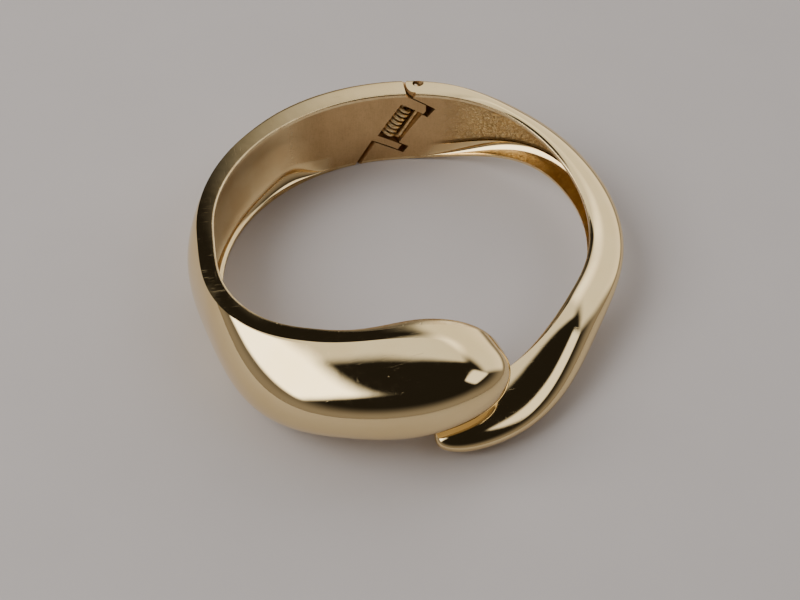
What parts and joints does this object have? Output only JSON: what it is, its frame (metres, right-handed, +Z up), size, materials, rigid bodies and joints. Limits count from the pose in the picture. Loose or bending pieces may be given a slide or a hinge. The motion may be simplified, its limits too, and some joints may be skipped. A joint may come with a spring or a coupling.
{
  "type": "hinged bypass bangle",
  "caption": "Gold-toned hinged bangle: a wide half with a broad rounded end passes over a narrow half's tapering tip, with a slanted spring hinge opposite",
  "frame": {"origin": "under the middle of the bounding box, on the surface the bangle lies on", "axes": "+Z up through the wrist opening; +Y towards the hinge; +X towards the narrow half"},
  "size_m": [0.0694, 0.0688, 0.0183],
  "materials": {
    "gold_plate": "mirror polished pale gold plate, satin on the hinge plates, as-cast inside the right half",
    "pin_steel": "dull drawn wire",
    "spring_wire": "drawn spring wire with a thin gold tone"
  },
  "bodies": {
    "narrow_half": {"right_half": "gold_plate", "hinge_pin": "pin_steel", "hinge_spring": "spring_wire"},
    "wide_half": {"left_half": "gold_plate"}
  },
  "joints": [
    {"name": "spring_hinge", "type": "hinge", "parent": "narrow_half", "child": "wide_half", "pos_m": [0.00362, 0.03175, 0.00755], "axis": [-0.515, 0, -0.8572], "range_deg": [0, 50], "stiffness_Nm_per_rad": 0.03, "springref_deg": -28.65}
  ]
}
